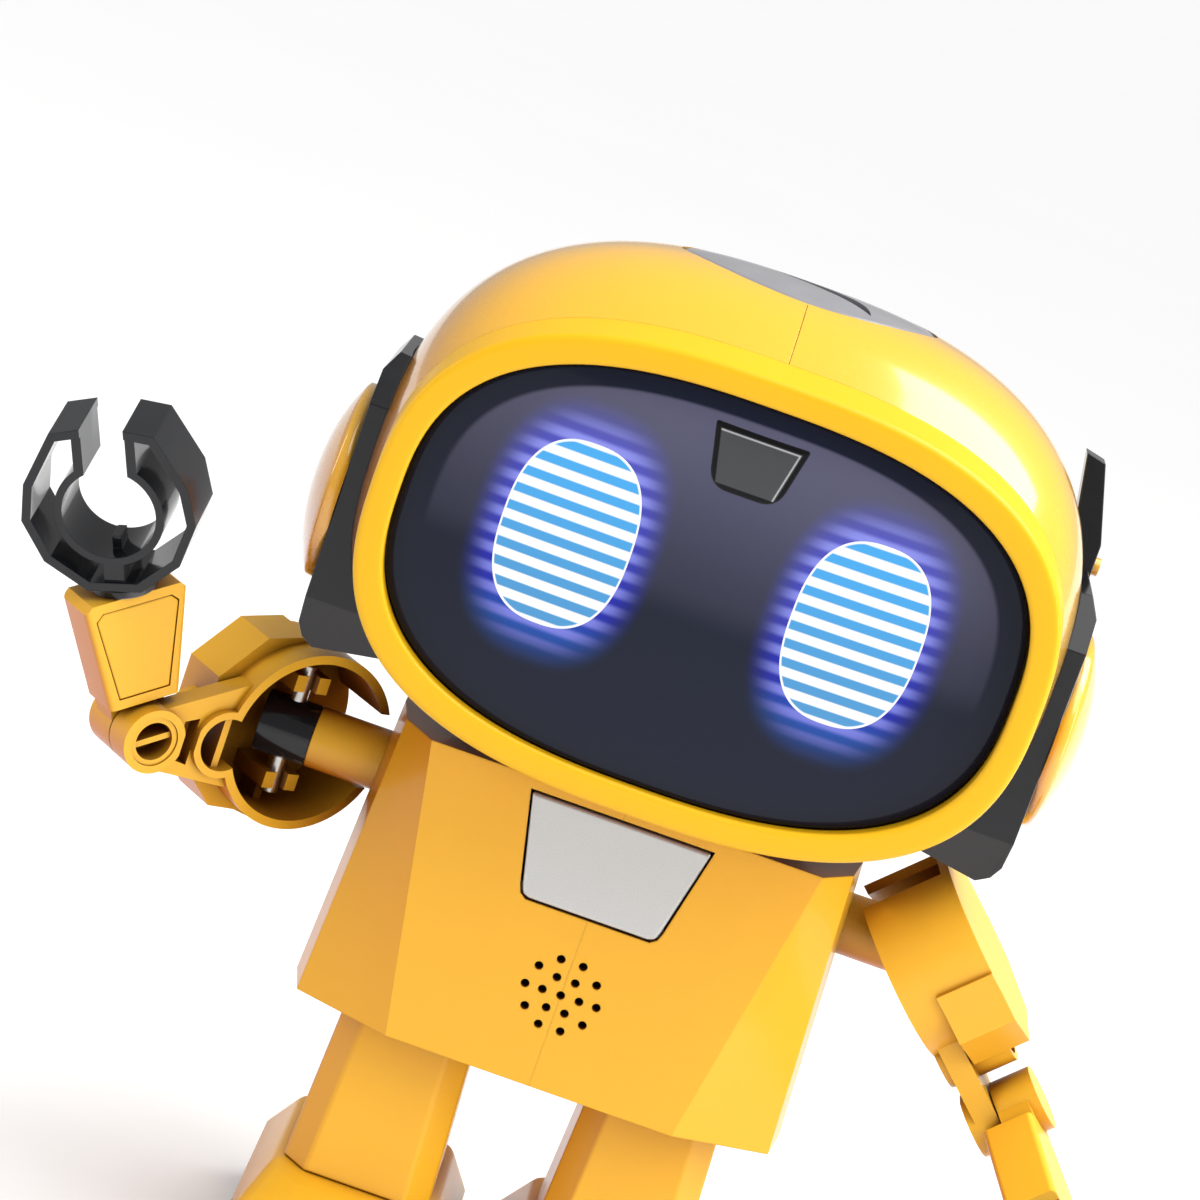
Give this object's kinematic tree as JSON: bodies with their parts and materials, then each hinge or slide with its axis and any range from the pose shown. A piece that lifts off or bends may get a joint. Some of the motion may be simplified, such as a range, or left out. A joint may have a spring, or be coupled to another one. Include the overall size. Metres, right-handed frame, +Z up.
{
  "type": "toy robot",
  "caption": "Desktop toy robot with a wide oval display face, domed head, poseable arms with C-shaped grippers and short wheeled feet.",
  "frame": {"origin": "on the floor under the middle of the object's bounding box", "axes": "+Z up, -Y the way the face looks, +X the robot's own left"},
  "size_m": [0.2096, 0.0842, 0.1838],
  "materials": {
    "black_gloss": "glossy",
    "board_green": "matte",
    "cell_wrap": "satin",
    "chest_silver": "silver paint",
    "dark_plastic": "matte",
    "eye_glow": "lit display",
    "grey_panel": "satin",
    "ring_yellow": "satin",
    "steel": "brushed",
    "tyre_rubber": "matte",
    "visor_dark": "glossy tinted",
    "yellow_arm": "satin",
    "yellow_shell": "glossy"
  },
  "bodies": {
    "torso": {"torso_shell_right": "yellow_shell", "torso_shell_left": "yellow_shell", "chest_plate": "chest_silver", "case_screws": "steel", "neck_collar": "dark_plastic", "battery_box": "dark_plastic", "battery_cells": "cell_wrap", "battery_door": "dark_plastic", "door_screw": "steel", "main_board": "board_green", "speaker": "dark_plastic", "switch_body": "dark_plastic", "leg_shell_right": "yellow_shell", "foot_shell_right": "yellow_shell", "foot_sole_right": "dark_plastic", "gear_motor_right": "dark_plastic", "leg_shell_left": "yellow_shell", "foot_shell_left": "yellow_shell", "foot_sole_left": "dark_plastic", "gear_motor_left": "dark_plastic"},
    "head": {"face_ring": "ring_yellow", "eye_right": "eye_glow", "eye_left": "eye_glow", "sensor_window": "black_gloss", "visor": "visor_dark", "head_shell_right": "yellow_shell", "head_shell_left": "yellow_shell", "touch_panel": "grey_panel", "ear_bracket_right": "black_gloss", "ear_dome_right": "yellow_shell", "ear_bracket_left": "black_gloss", "ear_dome_left": "yellow_shell", "antenna_boss": "yellow_shell", "display_board": "board_green"},
    "antenna": {"antenna_fin": "dark_plastic"},
    "switch": {"switch_slider": "dark_plastic"},
    "shoulder_right": {"shoulder_stub_right": "yellow_arm", "shoulder_barrel_right": "black_gloss", "shoulder_pins_right": "steel"},
    "upper_arm_right": {"upper_arm_right": "yellow_arm"},
    "forearm_right": {"forearm_right": "yellow_arm", "forearm_cover_right": "yellow_arm", "wrist_collar_right": "black_gloss"},
    "claw_right": {"claw_right": "black_gloss"},
    "wheel_right": {"wheel_right": "dark_plastic", "tyre_right": "tyre_rubber"},
    "roller_right": {"front_roller_right": "dark_plastic"},
    "shoulder_left": {"shoulder_stub_left": "yellow_arm", "shoulder_barrel_left": "black_gloss", "shoulder_pins_left": "steel"},
    "upper_arm_left": {"upper_arm_left": "yellow_arm"},
    "forearm_left": {"forearm_left": "yellow_arm", "forearm_cover_left": "yellow_arm", "wrist_collar_left": "black_gloss"},
    "claw_left": {"claw_left": "black_gloss"},
    "wheel_left": {"wheel_left": "dark_plastic", "tyre_left": "tyre_rubber"},
    "roller_left": {"front_roller_left": "dark_plastic"}
  },
  "joints": [
    {"name": "head_turn", "type": "hinge", "parent": "torso", "child": "head", "pos_m": [0, 0.003, 0.1015], "axis": [0, 0, 1], "range_deg": [-30, 30]},
    {"name": "antenna_fold", "type": "hinge", "parent": "head", "child": "antenna", "pos_m": [0.0552, 0.016, 0.1535], "axis": [1, 0, 0], "range_deg": [-75, 10]},
    {"name": "power_slide", "type": "slide", "parent": "torso", "child": "switch", "axis": [1, 0, 0], "range_m": [0, 0.003]},
    {"name": "shoulder_swing_right", "type": "hinge", "parent": "torso", "child": "shoulder_right", "pos_m": [-0.0556, 0.008, 0.086], "axis": [1, 0, 0], "range_deg": [-30, 180]},
    {"name": "shoulder_spread_right", "type": "hinge", "parent": "shoulder_right", "child": "upper_arm_right", "pos_m": [-0.0556, 0.008, 0.086], "axis": [0, 0, 1], "range_deg": [-29, 26]},
    {"name": "elbow_bend_right", "type": "hinge", "parent": "upper_arm_right", "child": "forearm_right", "pos_m": [-0.07736, -0.00962, 0.083], "axis": [-0.6293, 0.7771, 0], "range_deg": [-141, 9]},
    {"name": "wrist_turn_right", "type": "hinge", "parent": "forearm_right", "child": "claw_right", "pos_m": [-0.08526, -0.01602, 0.10584], "axis": [-0.3161, -0.256, 0.9135], "range_deg": [-50, 130]},
    {"name": "wheel_spin_right", "type": "hinge", "parent": "torso", "child": "wheel_right", "pos_m": [-0.0292, 0.018, 0.009], "axis": [1, 0, 0], "continuous": true},
    {"name": "roller_spin_right", "type": "hinge", "parent": "torso", "child": "roller_right", "pos_m": [-0.021, -0.0185, 0.0035], "axis": [1, 0, 0], "continuous": true},
    {"name": "shoulder_swing_left", "type": "hinge", "parent": "torso", "child": "shoulder_left", "pos_m": [0.0556, 0.008, 0.086], "axis": [-1, 0, 0], "range_deg": [-120, 90]},
    {"name": "shoulder_spread_left", "type": "hinge", "parent": "shoulder_left", "child": "upper_arm_left", "pos_m": [0.0556, 0.008, 0.086], "axis": [0, 1, 0], "range_deg": [-35, 20]},
    {"name": "elbow_bend_left", "type": "hinge", "parent": "upper_arm_left", "child": "forearm_left", "pos_m": [0.0754, 0.005, 0.0662], "axis": [0.7071, 0, 0.7071], "range_deg": [-20, 130]},
    {"name": "wrist_turn_left", "type": "hinge", "parent": "forearm_left", "child": "claw_left", "pos_m": [0.08554, -0.01548, 0.05606], "axis": [0.4056, -0.8192, -0.4056], "range_deg": [-90, 90]},
    {"name": "wheel_spin_left", "type": "hinge", "parent": "torso", "child": "wheel_left", "pos_m": [0.0292, 0.018, 0.009], "axis": [1, 0, 0], "continuous": true},
    {"name": "roller_spin_left", "type": "hinge", "parent": "torso", "child": "roller_left", "pos_m": [0.021, -0.0185, 0.0035], "axis": [1, 0, 0], "continuous": true}
  ]
}
